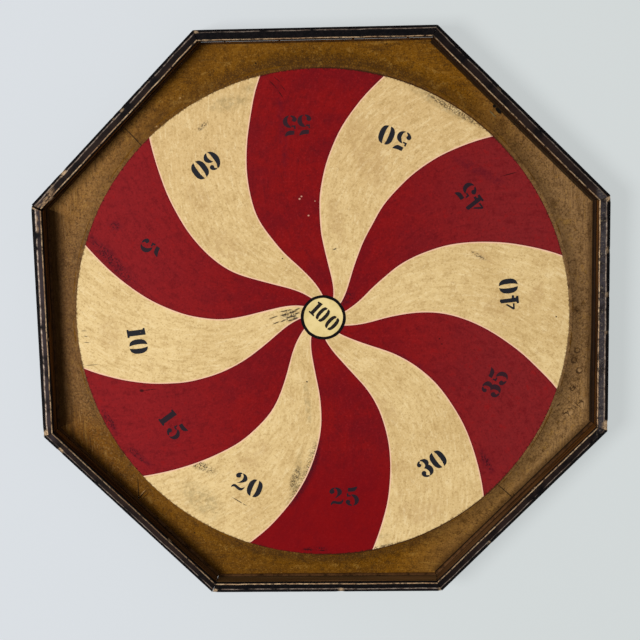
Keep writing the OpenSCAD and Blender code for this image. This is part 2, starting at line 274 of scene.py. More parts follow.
class Finish(Nodes):
    """A Principled material whose colour is built up in layers: layer is the colour so far."""

    def __init__(self, name, roughness=0.55, specular=0.12):
        self.material = bpy.data.materials.new(name)
        self.material.use_nodes = True
        super().__init__(self.material.node_tree)
        self.shader = self.tree.nodes["Principled BSDF"]
        self.put(self.shader, {"Roughness": roughness, "Specular IOR Level": specular})
        self.where = self.node("TexCoord", {})["Object"]
        self.x, self.y, self.z = self.node("SeparateXYZ", {0: self.where})
        self.layer = None

    def over(self, tint, *masks):
        """Lays a tint on the colour so far, as strongly as the product of the masks says."""
        if not isinstance(tint, bpy.types.NodeSocket):
            tint = linear(*tint)
        self.layer = self.mix(self.times(*masks), self.layer, tint)

    def over_bands(self, *rows):
        """Lays a tint for each row: a value, its band's low and high end, the weight, the tint."""
        for value, low, high, weight, tint in rows:
            self.over(tint, self.band(value, low, high), weight)

    def stretched(self, x, y):
        """Object coordinates scaled along X and Y."""
        scaled = {"Vector": self.where, "Scale": (x, y, 1)}
        return self.node("Mapping", scaled)["Vector"]

    def noise(self, size, detail=3, roughness=0.55, at=None, shift=0):
        """Cloudy noise whose largest features are about size millimetres across."""
        cloud = {
            "Vector": at or self.where, "W": shift, "Scale": 1 / (size * MM),
            "Detail": detail, "Roughness": roughness,
        }
        return self.node("TexNoise", cloud, noise_dimensions="4D")["Fac"]

    def vector(self, operation, inputs):
        return self.node("VectorMath", inputs, operation=operation)

    def cracks(self, size):
        """Distance to the nearest line of a net of cracks about size millimetres apart."""
        cloud = {"Vector": self.where, "Scale": 0.7 / (size * MM)}
        push = self.node("TexNoise", cloud)["Color"]
        push = self.vector("SCALE", {0: push, "Scale": size * MM})[0]
        net = {"Vector": self.vector("ADD", {0: self.where, 1: push})[0], "Scale": 1 / (size * MM)}
        return self.node("TexVoronoi", net, feature="DISTANCE_TO_EDGE")["Distance"]

    def spot(self, x, y, long, wide, turn=0, soft=0.6):
        """1 inside an ellipse on the board (mm, degrees) and 0 outside, with a soft edge."""
        ellipse = {
            "Vector": self.where, "Location": (x * MM, y * MM, TARGET_Z * MM),
            "Rotation": (0, 0, math.radians(turn)), "Scale": (long * MM, wide * MM, 1),
        }
        place = self.node("Mapping", ellipse, vector_type="TEXTURE")["Vector"]
        return self.band(self.vector("LENGTH", {0: place})["Value"], 1, 1 - soft)

    def spots(self, places):
        return self.most(*[self.spot(*place) for place in places])

    def by_side(self):
        """Distance of a point's side from the middle, place along that side, and its number."""
        step = math.radians(SIDE_STEP)
        angle = self.math("ARCTAN2", self.y, self.x)
        side = self.math("ROUND", self.math("DIVIDE", angle, step))
        off = self.minus(angle, self.times(side, step))
        away = self.length(self.x, self.y)
        across = self.times(away, self.math("COSINE", off))
        along = self.times(away, self.math("SINE", off))
        return across, along, side

    def attribute(self, name):
        return self.node("Attribute", {}, attribute_name=name)["Fac"]

    def joined(self, x, y, z):
        return self.node("CombineXYZ", {0: x, 1: y, 2: z})[0]

    def along_blade(self, stretch):
        """Place on a blade of paint, shortened that many times along the blade."""
        along = self.math("DIVIDE", self.attribute("along"), stretch)
        return self.joined(self.attribute("across"), along, self.attribute("blade"))

    def bump(self, height, strength, distance=0.3):
        relief = {"Height": height, "Strength": strength, "Distance": distance * MM}
        self.put(self.shader, {"Normal": self.node("Bump", relief)["Normal"]})

    def gloss(self, low, high, factor):
        self.put(self.shader, {"Roughness": self.between(factor, low, high)})

    def done(self):
        """The material, with the colour that has been built up."""
        self.put(self.shader, {"Base Color": self.layer})
        return self.material


# Paint on the target

def cream_paint():
    f = Finish("cream_paint")
    mottle = f.noise(11, 6, 0.72, shift=3)
    brush = f.noise(3.8, 4, 0.65, at=f.along_blade(4), shift=7)
    fine = f.noise(2.4, 4, 0.75, shift=11)
    f.layer = f.tones(f.noise(70, 4, 0.6), 0.38, 0.66, (230, 199, 140), (217, 184, 125))
    f.over_bands(
        # Painted light: the first row makes the cream paler towards the left, where the lamp is.
        (f.x, 0, -0.3, 0.5, (236, 206, 147)),
        (f.y, 0.05, 0.22, 0.45, (213, 176, 119)),
        (mottle, 0.5, 0.68, 0.65, (196, 161, 104)),
        (mottle, 0.46, 0.3, 0.5, (241, 214, 160)),
        (brush, 0.5, 0.66, 0.55, (192, 158, 100)),
        (brush, 0.46, 0.34, 0.5, (244, 218, 166)),
        (fine, 0.52, 0.64, 0.55, (170, 136, 84)),
        (fine, 0.44, 0.34, 0.5, (247, 222, 174)),
    )
    smudge = f.band(f.noise(7, 5, 0.72, shift=13), 0.36, 0.62)
    f.over((184, 146, 94), f.spots(TAN_PATCHES), smudge, 0.45)
    f.over((140, 122, 80), f.spots(GREY_PATCHES), smudge, 0.45)
    beside = f.times(f.spots(WORN_BORDERS), f.band(f.attribute("edge"), 0.011, 0.001))
    speck = f.most(f.spots(CREAM_SPECKLE), beside)
    f.over((56, 40, 28), speck, f.band(f.noise(1.8, 5, 0.75, shift=5), 0.46, 0.56), 0.9)
    broken = f.band(f.noise(4, 3, shift=9), 0.34, 0.46)
    f.over((38, 26, 22), f.spots(CREAM_SCRATCHES), broken, 0.9)
    border = f.ragged(f.attribute("edge"), mottle, 0.002)
    f.over((246, 196, 166), f.band(border, 0.0019, 0.0009), 0.9)
    target_edge(f, fine, -1.4, 0.4, (92, 62, 32), 0.75)
    f.gloss(0.5, 0.66, mottle)
    f.bump(f.plus(f.times(brush, 0.7), f.times(fine, 0.5)), 0.3)
    return f.done()


def red_paint():
    f = Finish("red_paint", specular=0.05)
    mottle = f.noise(10, 6, 0.7, shift=4)
    brush = f.noise(4.5, 4, 0.65, at=f.along_blade(5), shift=8)
    fine = f.noise(2.2, 4, 0.75, shift=12)
    f.layer = f.tones(f.noise(45, 4, 0.6, shift=2), 0.38, 0.64, (132, 12, 14), (116, 10, 18))
    f.over_bands(
        # Painted sheen: the first two rows make the red paler and pinker towards the right and the left.
        (f.x, 0.03, 0.26, 0.8, (128, 34, 36)),
        (f.x, -0.03, -0.26, 0.8, (138, 27, 31)),
        (mottle, 0.5, 0.64, 0.5, (104, 12, 19)),
        (mottle, 0.46, 0.32, 0.5, (148, 16, 18)),
        (brush, 0.5, 0.68, 0.3, (92, 9, 17)),
        (brush, 0.44, 0.34, 0.2, (152, 28, 30)),
        (fine, 0.52, 0.66, 0.5, (82, 7, 15)),
        (fine, 0.45, 0.35, 0.3, (160, 40, 42)),
    )
    f.over((122, 2, 9), f.band(f.y, -0.15, -0.24), f.band(f.absolute(f.x), 0.13, 0.08), 0.55)
    f.over((80, 12, 30), f.spots(RED_SHADOWS), f.band(mottle, 0.34, 0.64), 0.42)
    beside = f.times(f.spots(WORN_BORDERS), f.band(f.attribute("edge"), 0.009, 0.002))
    f.over((70, 10, 24), beside, 0.55)
    speck = f.most(f.spots(RED_SPECKLE), beside)
    f.over((36, 10, 20), speck, f.band(f.noise(1.8, 5, 0.75, shift=6), 0.47, 0.59), 0.85)
    broken = f.band(f.noise(4, 3, shift=10), 0.34, 0.46)
    f.over((38, 8, 12), f.spots(RED_SCRATCHES), broken, 0.85)
    f.over((214, 158, 134), f.spots(RED_CHIPS), 0.85)
    border = f.ragged(f.attribute("edge"), mottle, 0.003)
    f.over((82, 6, 22), f.band(border, 0.0022, 0.0006), 0.4)
    target_edge(f, fine, -1.6, 0.2, (48, 16, 10), 0.8)
    f.gloss(0.45, 0.62, mottle)
    f.bump(f.plus(f.times(brush, 0.7), f.times(fine, 0.5)), 0.3)
    return f.done()


def target_edge(f, fine, start, full, tint, weight):
    """The dirty edge of the target's paint, from start to full (mm) against the painted circle."""
    rim = f.ragged(f.attribute("along"), fine, 0.008)
    f.over(tint, f.band(rim, (PAINTED_R + start) * MM, (PAINTED_R + full) * MM), weight)


def ring_paint():
    f = Finish("ring_black", specular=0.04)
    worn = f.noise(2.4, 4, 0.7)
    f.layer = f.tones(worn, 0.6, 0.7, (12, 9, 10), (82, 62, 44))
    f.bump(worn, 0.2)
    return f.done()


def spot_paint():
    f = Finish("spot_cream")
    fine = f.noise(2, 3, 0.7, shift=3)
    f.layer = f.tones(f.noise(16, 4, 0.6), 0.35, 0.68, (236, 212, 148), (214, 190, 122))
    f.over((182, 152, 88), f.band(fine, 0.55, 0.75), 0.4)
    f.bump(fine, 0.2)
    return f.done()


def ink(name, full, thin, low, high):
    """Stencil ink that thins to the colour under it."""
    f = Finish(name, 0.6)
    fine = f.noise(1.4, 3, 0.7, shift=5)
    thinned = f.plus(f.times(f.noise(7, 5, 0.7), 0.7), f.times(fine, 0.3))
    f.layer = f.tones(thinned, low, high, full, thin)
    f.bump(fine, 0.15)
    return f.done()


# Field, panel, rim and hidden pieces

def ochre_paint(name, squeeze_x, squeeze_y, seed):
    """Old ochre paint over grain that is drawn out along the axis with the smaller squeeze."""
    f = Finish(f"field_ochre_{name}", specular=0.05)
    grain_at = f.stretched(squeeze_x, squeeze_y)
    clouds = f.noise(60, 4, 0.6, shift=1 + seed)
    mottle = f.noise(8, 5, 0.7, shift=2 + seed)
    grain = f.noise(5.5, 5, 0.7, at=grain_at, shift=3 + seed)
    hair = f.noise(1.6, 3, 0.7, at=grain_at, shift=5)
    fine = f.noise(1.8, 3, 0.7, shift=4)
    f.layer = f.tones(clouds, 0.36, 0.66, (124, 79, 8), (106, 66, 5))
    aside = field_sides(f)
    f.over_bands(
        (mottle, 0.48, 0.68, 0.6, (74, 44, 8)),
        (mottle, 0.46, 0.3, 0.5, (152, 107, 34)),
        (grain, 0.52, 0.66, 0.65, (68, 42, 10)),
        (grain, 0.46, 0.34, 0.5, (156, 115, 50)),
        (fine, 0.52, 0.64, 0.65, (50, 29, 7)),
        (fine, 0.45, 0.34, 0.4, (162, 121, 58)),
    )
    f.over((78, 54, 32), aside, f.band(hair, 0.52, 0.62), 0.45)
    f.over((170, 134, 88), aside, f.band(hair, 0.46, 0.38), 0.3)
    net = crackle(f, mottle)
    paint_line(f)
    rail_foot(f, mottle)
    field_marks(f)
    f.gloss(0.48, 0.66, mottle)
    f.bump(f.plus(f.times(grain, 0.8), f.times(f.plus(fine, net), 0.5)), 0.35)
    bare_behind(f, RAIL_BOTTOM)
    return f.done()


def field_sides(f):
    """Tints at the sides: paler paint at the right and in the middle and top of the left, which is
    painted sheen, and darker paint at the bottom. Gives where the sides are.
    """
    x, y = f.x, f.y
    right, left = f.band(x, 0.17, 0.31), f.band(x, -0.17, -0.3)
    f.over((94, 58, 6), f.band(y, -0.25, -0.31), f.band(x, 0.1, 0), 0.5)
    # Painted sheen: paler towards the right and, below, in the middle and top of the left.
    f.over((144, 109, 70), right, 0.95)
    f.over((166, 128, 78), f.band(x, 0.08, 0.2), f.band(y, -0.04, -0.2), 0.35)
    f.over((116, 70, 8), left, 0.85)
    f.over((132, 96, 56), left, f.band(f.absolute(y), 0.16, 0.1), 0.7)
    f.over((148, 107, 58), left, f.band(y, 0.08, 0.17), 0.8)
    return f.most(right, left)


def crackle(f, mottle):
    """A net of cracks in patches, a closer one beside the target, and a darker ring beside the target
    that is partly dirt and partly painted shade. Gives the net.
    """
    net = f.times(f.band(f.cracks(5.5), 0.09, 0.02), f.band(f.noise(34, 3, shift=6), 0.42, 0.6))
    f.over((56, 34, 12), net, 0.4)
    away = f.minus(f.length(f.x, f.y), TARGET_R * MM)
    beside = f.times(f.band(away, 0.014, 0.004), f.band(f.absolute(f.x), 0.15, 0.11))
    f.over((60, 36, 12), beside, f.band(f.cracks(3.4), 0.16, 0.05), 0.6)
    # Partly dirt and partly painted shade: darker in a ring just outside the target.
    f.over((66, 46, 28), f.band(f.ragged(away, mottle, 0.02), 0.012, 0), 0.25)
    return net


def paint_line(f):
    """A dark line along the target's paint, in its upper and lower right parts: partly dirt and partly
    painted shade in the corner at the target's edge.
    """
    away = f.length(f.minus(f.x, RIM_SHIFT.x * MM), f.minus(f.y, RIM_SHIFT.y * MM))
    line = f.band(away, (PAINTED_R + 2.2) * MM, (PAINTED_R + 0.8) * MM)
    part = f.times(f.band(f.x, -0.05, 0.01), f.band(f.absolute(f.y), 0.17, 0.23))
    f.over((50, 24, 10), line, part, 0.8)


def rail_foot(f, mottle):
    """Painted shade beside the beads: the painted shadow of the left and lower left rails, a darker band
    beside the right and lower right beads, and a black line at the foot of the right, upper right and
    lower right beads. None beside the upper left, top and bottom rails.
    """
    across, along, side = f.by_side()
    away = f.absolute(side)
    foot = f.minus(RAIL_INNER * MM, across)
    ragged = f.ragged(foot, mottle, 0.008)
    left, lower_left = f.band(away, 3.4, 3.6), f.times(f.band(side, -2.4, -2.6), 0.45)
    # Painted shadow of the left and lower left rails on the field.
    f.over((50, 26, 2), f.most(left, lower_left), f.band(ragged, 0.034, 0.006), 0.8)
    near_right, upper = f.band(away, 1.6, 1.4), f.band(side, 0.4, 0.6)
    # Painted shade: a darker band beside the right and lower right beads.
    f.over((62, 38, 14), f.band(ragged, 0.014, 0.005), near_right, f.minus(1, upper), 0.7)
    wider = f.times(f.band(away, 0.6, 0.4), f.band(along, -0.02, -0.09))
    line_end = f.plus(0.0052, f.times(f.most(wider, upper), 0.0014))
    # Painted shade: a black line at the foot of the right, upper right and lower right beads.
    f.over((16, 9, 5), f.band(foot, line_end, f.minus(line_end, 0.0008)), near_right, 0.9)


def field_marks(f):
    """Specks, the notch at upper right, seams, and the blisters and dents near the right rail. The notch
    is painted dark as painted shade in its hollow, each dent has a dark crescent of painted shade, and
    painted highlights lie in two blisters and a dent.
    """
    f.over((26, 15, 8), f.spots(FIELD_SPECKS), 0.85)
    # Painted shade: the notch is painted dark.
    f.over((12, 8, 5), f.spots(FIELD_NOTCH))
    f.over((112, 106, 74), f.spots(FIELD_FILLER), 0.7)
    # Pale specks and a pale line, and painted highlights in two blisters and a dent.
    f.over((176, 138, 92), f.spots(FIELD_PALE_MARKS_AND_HIGHLIGHTS), 0.6)
    f.over((20, 11, 5), f.spots(FIELD_SEAMS), 0.8)
    level_lines = f.absolute(f.minus(f.noise(9, 2, 0.5, shift=9), 0.5))
    f.over((52, 33, 16), f.spots(FIELD_BLISTERS), f.band(level_lines, 0.045, 0.015), 0.85)
    # Painted shade: a dark crescent on the lower left side of each dent.
    for x, y, long, wide in FIELD_DENTS:
        outer = f.spot(x, y, long, wide, 0, 0.3)
        inner = f.spot(x + 0.8, y + 0.6, long * 0.7, wide * 0.7, 0, 0.5)
        f.over((56, 37, 20), outer, f.minus(1, inner), 0.8)


def bare_wood(f, light, dark):
    """Colour of bare old wood with its grain along X, and the grain by itself."""
    at = f.stretched(0.05, 1)
    figure = f.noise(6, 5, 0.65, at=at, shift=20)
    pores = f.noise(1.2, 2, 0.6, at=at, shift=21)
    wood = f.tones(figure, 0.35, 0.68, light, dark)
    return f.mix(f.times(f.band(pores, 0.55, 0.72), 0.5), wood, linear(70, 48, 28)), figure


def bare_behind(f, back):
    """The paint covers the face and its edges: the side at height back (mm) is bare wood."""
    bare, _ = bare_wood(f, (152, 118, 76), (116, 84, 52))
    f.over(bare, f.band(f.z, (back + 0.5) * MM, (back + 0.1) * MM))


def panel_paint():
    f = Finish("panel_ochre", specular=0.05)
    mottle = f.noise(9, 5, 0.7, shift=2.5)
    grain = f.noise(7, 4, 0.65, at=f.stretched(0.12, 1), shift=5)
    f.layer = f.tones(mottle, 0.4, 0.68, (112, 72, 12), (84, 52, 8))
    f.over((58, 35, 10), f.band(grain, 0.52, 0.72), 0.4)
    f.bump(grain, 0.3)
    f.gloss(0.5, 0.68, mottle)
    bare_behind(f, FIELD_Z)
    return f.done()


def rim_paint():
    """Black paint, greyer and browner on the tops towards the left and right, with painted sheen on the
    right rail's top, and brown on the inner walls, which are painted lighter low down as painted light.
    """
    f = Finish("rim_black", specular=0.04)
    across, along, side = f.by_side()
    x, y, z = f.x, f.y, f.z
    own = f.times(side, 1.7)
    patch = f.noise(26, 4, 0.6, at=f.joined(across, along, own), shift=2)
    streak = f.noise(7, 4, 0.65, at=f.joined(z, f.times(along, 0.05), own), shift=5)
    scuff = f.noise(4, 4, 0.7, at=f.joined(across, f.times(along, 0.25), own), shift=6)
    mottle = f.noise(5, 4, 0.65, shift=3)
    fine = f.noise(1.8, 3, 0.7, shift=4)
    off_arris, off_line = f.attribute("off_arris"), f.attribute("off_line")
    top = f.times(f.band(off_arris, 0.0004, 0.0014), f.band(off_line, -0.0002, -0.0012))
    f.layer = f.tones(mottle, 0.42, 0.66, (6, 5, 7), (18, 14, 15))
    f.over((42, 30, 26), f.band(f.absolute(x), 0.13, 0.19), f.band(patch, 0.3, 0.62), top, 0.85)
    f.over((58, 49, 52), f.band(x, -0.336, -0.342), f.band(patch, 0.3, 0.6), top, 0.8)
    # Painted sheen: grey-blue patches on the right rail's top, with pale specks and dark mottle.
    right = f.times(f.band(x, 0.336, 0.342), top)
    f.over((64, 59, 62), right, f.band(patch, 0.34, 0.56), 0.85)
    f.over((132, 120, 98), right, f.band(fine, 0.55, 0.64), 0.6)
    f.over((22, 17, 16), right, f.band(mottle, 0.54, 0.64), 0.7)
    f.over((70, 54, 44), f.band(fine, 0.58, 0.74), 0.3)

    inset = f.minus(across, RAIL_INNER * MM)
    wall = f.times(f.band(inset, 0.0006, 0.0001), f.band(z, 0.0437, 0.0425))
    # Painted light: the lower walls get lighter browns and the bottom wall lighter still, as the lamp
    # hardly lights them.
    upper, lower, lowest = [f.tones(streak, 0.42, 0.58, *browns) for browns in WALL_BROWNS]
    at_bottom = f.band(f.absolute(f.plus(side, 2)), 0.6, 0.4)
    brown = f.mix(at_bottom, f.mix(f.band(y, -0.15, -0.3), upper, lower), lowest)
    f.over(brown, wall)
    f.over((172, 140, 106), f.spots(RIM_WORN_ENDS), f.band(scuff, 0.56, 0.44), top, 0.85)

    arris = f.times(f.band(f.absolute(off_arris), 0.0009, 0.0003), f.attribute("arris_gain"))
    cream = f.tones(patch, 0.35, 0.65, (222, 188, 146), (168, 130, 96))
    f.over(cream, arris, f.band(mottle, 0.7, 0.42))
    gain = f.attribute("line_gain")
    half_width = f.plus(0.0005, f.times(gain, 0.0009))
    line = f.times(f.band(f.absolute(off_line), half_width, 0.0002), gain)
    pale = f.tones(mottle, 0.35, 0.62, (200, 180, 162), (128, 106, 92))
    f.over(pale, line, f.band(patch, 0.36, 0.5))
    f.over((188, 158, 124), f.attribute("chip"), f.band(fine, 0.3, 0.5))
    f.gloss(0.38, 0.62, mottle)
    f.bump(f.plus(f.times(mottle, 0.7), f.times(fine, 0.5)), 0.35)
    return f.done()


def bead_paint():
    """Brown stain, painted lighter low down as painted light and nearly black at the right and upper
    right as painted shade.
    """
    f = Finish("bead_brown", 0.6, 0.04)
    mottle = f.noise(8, 4, 0.65)
    fine = f.noise(1.6, 3, 0.7, shift=3)
    f.layer = f.tones(mottle, 0.36, 0.66, (72, 45, 20), (44, 26, 11))
    # Painted light: lighter on the lower beads.
    f.over((90, 60, 34), f.band(f.y, -0.15, -0.3), f.band(mottle, 0.7, 0.4), 0.8)
    # Painted shade: nearly black at the right and upper right.
    f.over((24, 13, 6), f.band(f.absolute(f.minus(f.by_side()[2], 0.5)), 0.7, 0.6), 0.85)
    f.over((34, 18, 8), f.band(fine, 0.55, 0.72), 0.4)
    f.bump(fine, 0.25)
    return f.done()


def pine():
    f = Finish("batten_pine", 0.7)
    f.layer, figure = bare_wood(f, (176, 140, 92), (134, 98, 58))
    f.bump(figure, 0.4)
    return f.done()


def steel():
    f = Finish("nail_steel", 0.45, 0.5)
    f.put(f.shader, {"Metallic": 0.8})
    tarnish = f.noise(1.6, 4, 0.7)
    f.layer = f.tones(tarnish, 0.4, 0.65, (112, 108, 102), (62, 48, 38))
    f.gloss(0.35, 0.7, tarnish)
    f.bump(tarnish, 0.2, 0.1)
    return f.done()


# Pieces

def placed(name, data):
    """A new object in the scene."""
    thing = bpy.data.objects.new(name, data)
    bpy.context.scene.collection.objects.link(thing)
    return thing


def add_piece(name, vertices, faces, material, replaced=()):
    """A piece of the board from vertices in millimetres, in the place of the named nodes."""
    mesh = bpy.data.meshes.new(name)
    mesh.from_pydata([[value * MM for value in place] for place in vertices], [], faces)
    mesh.materials.append(material)
    mesh.validate()
    piece = placed(name, mesh)
    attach(piece, "root")
    if replaced:
        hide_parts(*replaced)
    return piece


def set_values(piece, **values):
    """Keeps lists of one number for each vertex, which the piece's material reads by name."""
    for name, numbers in values.items():
        piece.data.attributes.new(name, "FLOAT", "POINT").data.foreach_set("value", numbers)


def wander(size, *place):
    """Smooth noise from -1 to 1 that changes over about size millimetres."""
    return noise.noise(Vector([value / size for value in place]))


def eased(low, high, value):
    """0 up to low and 1 from high on, with a smooth change between them."""
    share = min(1, max(0, (value - low) / (high - low)))
    return share * share * (3 - 2 * share)


def circle(steps):
    """The angles of that many equal steps round a circle."""
    return [math.radians(360 * i / steps) for i in range(steps)]


def slab_faces(start, count):
    """Faces of a thin solid whose top loop, then its bottom loop, begins at vertex start."""
    faces = [tuple(range(start, start + count))]
    faces.append(tuple(range(start + 2 * count - 1, start + count - 1, -1)))
    for i in range(count):
        j = (i + 1) % count
        faces.append((start + j, start + i, start + count + i, start + count + j))
    return faces


def tube_faces(sections, count, ring=False):
    """Faces along sections of count points each, which meet in a ring or end in two flat ends."""
    last = (sections - 1) * count
    faces = [] if ring else [tuple(range(count - 1, -1, -1)), tuple(range(last, last + count))]
    for i in range(sections if ring else sections - 1):
        a, b = i * count, (i + 1) % sections * count
        for j in range(count):
            k = (j + 1) % count
            faces.append((a + j, a + k, b + k, b + j))
    return faces


RADIAL_STEPS = 40
CROSS_STEPS = 12
ROW_CROWDING = 1.25
UNDER_RING = 0.6
BRUSH_SHAKE = 0.8
SHAKE_LENGTH = 34


def border_angle(index, r):
    """Angle of a border at radius r (mm), with the slight unsteadiness of a brush."""
    index %= len(SECTORS)
    _, rim_angle, ring_gain, hub, midway, rim = SECTORS[index]
    share = r / PAINT_R
    ring_share = HUB_R / PAINT_R
    hook = SPIRAL_LEAD * (1 - ring_share) - ring_gain
    gain = SPIRAL_LEAD * (1 - share) - hook * math.exp((ring_share - share) / HOOK_REACH)
    near, middle, far = STRAY_PLACES
    strayed = hub + (midway - hub) * eased(near, middle, r) + (rim - midway) * eased(middle, far, r)
    strayed += BRUSH_SHAKE * wander(SHAKE_LENGTH, r, 90 * index, 0)
    return math.radians(rim_angle + gain) + strayed / r


def painted(r, angle):
    """Place on the panel (mm) of a point given from the painter's own centre."""
    shift = HUB_SHIFT.lerp(RIM_SHIFT, r / PAINT_R)
    return r * math.cos(angle) + shift.x, r * math.sin(angle) + shift.y


def drop(x, y):
    """How far the panel's rounded edge lies below its face."""
    beyond = max(0, math.hypot(x, y) - (TARGET_R - TARGET_ROUND))
    return TARGET_ROUND - math.sqrt(TARGET_ROUND ** 2 - min(beyond, TARGET_ROUND) ** 2)


def sector_faces():
    """Faces of a coat's top and underside, in rows from the hub out, and of its edge."""
    row = CROSS_STEPS + 1
    count = row * (RADIAL_STEPS + 1)
    faces = []
    for i in range(RADIAL_STEPS):
        for j in range(CROSS_STEPS):
            a, b = i * row + j, (i + 1) * row + j
            faces.append((a, b, b + 1, a + 1))
            faces.append((count + a, count + a + 1, count + b + 1, count + b))
    loop = [i * row for i in range(RADIAL_STEPS, 0, -1)]
    loop += list(range(CROSS_STEPS))
    loop += [i * row + CROSS_STEPS for i in range(RADIAL_STEPS)]
    loop += [RADIAL_STEPS * row + j for j in range(CROSS_STEPS, 0, -1)]
    for a, b in zip(loop, loop[1:] + loop[:1]):
        faces.append((a, b, count + b, count + a))
    return faces


def sector(index, material):
    """A coat of paint between two borders, with each vertex's distance to the nearer border."""
    score, rim_angle = SECTORS[index][:2]
    next_rim = SECTORS[(index + 1) % len(SECTORS)][1]
    lap = math.radians(360) if next_rim < rim_angle else 0.0
    start = HUB_R - UNDER_RING
    top, edge, across, along = [], [], [], []
    for i in range(RADIAL_STEPS + 1):
        r = start + (PAINTED_R - start) * (i / RADIAL_STEPS) ** ROW_CROWDING
        low = border_angle(index, r)
        high = border_angle(index + 1, r) + lap
        lean = (border_angle(index, r + 0.5) - border_angle(index, r - 0.5)) * r
        width = (high - low) * r / math.hypot(1, lean) * MM
        for j in range(CROSS_STEPS + 1):
            share = j / CROSS_STEPS
            top.append(painted(r, low + (high - low) * share))
            edge.append(min(share, 1 - share) * width)
            across.append((share - 0.5) * width)
            along.append(r * MM)
    vertices = [(x, y, z - drop(x, y)) for z in (PAINT_TOP, TARGET_Z) for x, y in top]
    nodes = [f"sector_{score}"]
    piece = add_piece(f"paint_{score}", vertices, sector_faces(), material, nodes)
    blade = [index * 0.1] * len(vertices)
    set_values(piece, edge=edge * 2, across=across * 2, along=along * 2, blade=blade)


RING_STEPS = 96
SPOT_STEPS = 72
SPOT_UNDER_RING = 1.2


def painted_ring(material):
    """The black ring, whose outer and inner edges are each unsteady in their own way."""
    vertices = []
    top, low = PAINT_TOP + 0.08, TARGET_Z + 0.05
    for turn in circle(RING_STEPS):
        x, y = math.cos(turn), math.sin(turn)
        outer = HUB_R - 0.2 + 0.45 * wander(9, 28 * x, 28 * y, 0)
        inner = HUB_R - RING_W - 0.2 + 0.5 * wander(9, 28 * x + 40, 28 * y, 0)
        for r, z in ((outer, top), (outer, low), (inner, low), (inner, top)):
            vertices.append((r * x + HUB_SHIFT.x, r * y + HUB_SHIFT.y, z))
    faces = tube_faces(RING_STEPS, 4, True)
    add_piece("paint_ring", vertices, faces, material, ["centre_ring"])


def painted_spot(material):
    reach = HUB_R - RING_W + SPOT_UNDER_RING
    vertices = [
        (reach * math.cos(turn) + HUB_SHIFT.x, reach * math.sin(turn) + HUB_SHIFT.y, z)
        for z in (PAINT_TOP, TARGET_Z)
        for turn in circle(SPOT_STEPS)
    ]
    faces = slab_faces(0, SPOT_STEPS)
    add_piece("paint_spot", vertices, faces, material, ["centre_spot"])


# The cove of filler between the panel's edge and the field: distance from the middle and height
# (mm), outward over its top and back under it along the field and the panel's rounded edge
COVE_STEPS = 180
COVE_TOP = [
    (310.4, 28.12), (312, 27.8), (313.6, 26.95), (315.5, 26.25), (318, 25.4), (321, 24.45),
    (324.5, 23.45), (328, 22.7), (331, 22.28), (334, 22.05),
]
COVE_UNDER = [
    (334, 21.98), (315, 21.98), (315, 23.5), (313.6, 26.74), (312.2, 27.65), (310.6, 27.98),
]


def paint_cove(material):
    """The ochre's soft rise from the field to the edge of the target's paint."""
    vertices = []
    for turn in circle(COVE_STEPS):
        out = Vector((math.cos(turn), math.sin(turn)))
        edge_x, edge_y = painted(PAINTED_R - 0.2, turn)
        vertices.append((edge_x, edge_y, PAINT_TOP - 0.1))
        for r, z in COVE_TOP:
            bell = (z - FIELD_Z) * (PAINT_TOP - z) / 10
            place = out * (r + 0.7 * bell * wander(40, r * out.x, r * out.y, 5))
            height = z + 0.25 * bell * wander(13, r * out.x, r * out.y, 3)
            vertices.append((place.x, place.y, height))
        vertices += [(r * out.x, r * out.y, z) for r, z in COVE_UNDER]
        vertices.append((edge_x, edge_y, TARGET_Z - 0.02))
    faces = tube_faces(COVE_STEPS, len(vertices) // COVE_STEPS, True)
    add_piece("paint_cove", vertices, faces, material)


# Numerals. A stencil piece is a list of runs, in units of GLYPH_UNIT from the digit's middle.
# A run starts at a corner and passes smoothly through its other points to the next run's corner.

ZERO_HALF = [
    [(-1.2, 9.3), (-4.7, 7.9), (-6.8, 4.5), (-7.3, 0), (-6.8, -4.5), (-4.7, -7.9)],
    [(-1.2, -9.3), (-2.1, -5), (-2.3, 0), (-2.1, 5)],
]
SMALL_ZERO_HALF = [
    [(-0.6, 7.9), (-3.2, 7.1), (-4.7, 4.1), (-5.1, 0), (-4.7, -4.1), (-3.2, -7.1)],
    [(-0.6, -7.9)],
    [(-0.6, -5.7), (-1.3, -4.2), (-1.5, 0), (-1.3, 4.2)],
    [(-0.6, 5.7)],
]


def mirrored(shape):
    return [[(-x, y) for x, y in run] for run in shape]


def corners(*points):
    return [[point] for point in points]


